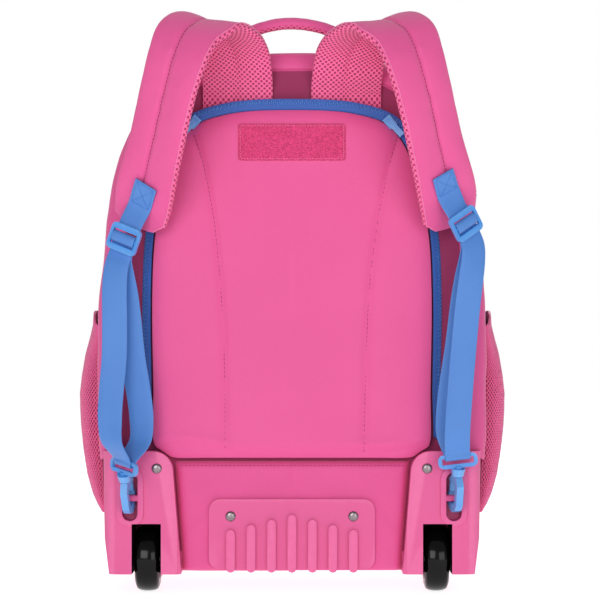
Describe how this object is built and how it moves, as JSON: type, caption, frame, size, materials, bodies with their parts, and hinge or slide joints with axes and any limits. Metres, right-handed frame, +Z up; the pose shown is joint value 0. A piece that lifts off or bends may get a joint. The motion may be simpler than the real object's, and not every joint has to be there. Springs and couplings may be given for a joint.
{
  "type": "wheeled backpack",
  "caption": "School backpack with wheels, padded straps on snap hooks, a zipped stowage panel on its back, net side pockets and a pull handle.",
  "frame": {"origin": "on the floor, under the middle of the bounding box", "axes": "+Z up, +Y from the back panel towards the front pocket, +X to the right of someone who faces the back panel"},
  "size_m": [0.4404, 0.3522, 0.5753],
  "materials": {
    "cloth_pink": "woven",
    "cloth_shade": "woven",
    "net_pink": "net",
    "plastic_pink": "fine grain",
    "loop_tape_pink": "looped pile",
    "zip_blue": "woven tape with a nylon coil",
    "zip_navy": "woven tape",
    "webbing_blue": "woven band",
    "buckle_blue": "moulded",
    "steel": "satin",
    "tyre_black": "gloss",
    "hub_black": "moulded",
    "tube_aluminium": "satin"
  },
  "bodies": {
    "bag": {"bag_shell": "cloth_pink", "front_pocket": "cloth_pink", "back_panel": "cloth_pink", "grab_handle": "cloth_pink", "shoulder_strap_left": "cloth_pink", "shoulder_strap_right": "cloth_pink", "base_cover": "cloth_shade", "side_pocket_left": "net_pink", "side_pocket_right": "net_pink", "pocket_hem_left": "net_pink", "pocket_hem_right": "net_pink", "kick_plate": "plastic_pink", "wheel_housing_left": "plastic_pink", "wheel_housing_right": "plastic_pink", "foot_left": "plastic_pink", "foot_right": "plastic_pink", "panel_patch": "loop_tape_pink", "main_zip": "zip_blue", "front_pocket_zip": "zip_blue", "panel_zip": "zip_blue", "panel_zip_wall_tape": "zip_navy", "webbing_tab_left": "webbing_blue", "webbing_tab_right": "webbing_blue", "webbing_loop_left": "webbing_blue", "webbing_loop_right": "webbing_blue", "main_zip_slider_lower": "buckle_blue", "main_zip_slider_upper": "buckle_blue", "front_pocket_slider": "buckle_blue", "panel_zip_slider_left": "buckle_blue", "panel_zip_slider_right": "buckle_blue", "adjuster_left": "buckle_blue", "adjuster_right": "buckle_blue", "hook_eye_left": "buckle_blue", "hook_eye_right": "buckle_blue", "snap_hook_left": "buckle_blue", "snap_hook_right": "buckle_blue", "kick_plate_rivet_left": "steel", "kick_plate_rivet_right": "steel", "housing_rivet_left": "steel", "housing_rivet_right": "steel", "axle_left": "steel", "axle_right": "steel", "trolley_frame": "tube_aluminium"},
    "wheel_left": {"tyre_left": "tyre_black", "hub_left": "hub_black"},
    "wheel_right": {"tyre_right": "tyre_black", "hub_right": "hub_black"},
    "pull_handle": {"trolley_tubes": "tube_aluminium", "trolley_grip": "plastic_pink"},
    "gate_left": {"hook_gate_left": "buckle_blue"},
    "gate_right": {"hook_gate_right": "buckle_blue"}
  },
  "joints": [
    {"name": "wheel_left_spin", "type": "hinge", "parent": "bag", "child": "wheel_left", "pos_m": [-0.1444, -0.05716, 0.033], "axis": [1, 0, 0], "continuous": true},
    {"name": "wheel_right_spin", "type": "hinge", "parent": "bag", "child": "wheel_right", "pos_m": [0.1444, -0.05716, 0.033], "axis": [1, 0, 0], "continuous": true},
    {"name": "pull_handle_slide", "type": "slide", "parent": "bag", "child": "pull_handle", "axis": [0, 0, 1], "range_m": [0, 0.38]},
    {"name": "gate_left_swing", "type": "hinge", "parent": "bag", "child": "gate_left", "pos_m": [-0.16061, -0.09027, 0.1114], "axis": [0.9781, -0.2079, 0], "range_deg": [-18, 0], "stiffness_Nm_per_rad": 0.02},
    {"name": "gate_right_swing", "type": "hinge", "parent": "bag", "child": "gate_right", "pos_m": [0.15949, -0.08601, 0.11093], "axis": [0.9659, 0.2588, 0], "range_deg": [-18, 0], "stiffness_Nm_per_rad": 0.02}
  ]
}
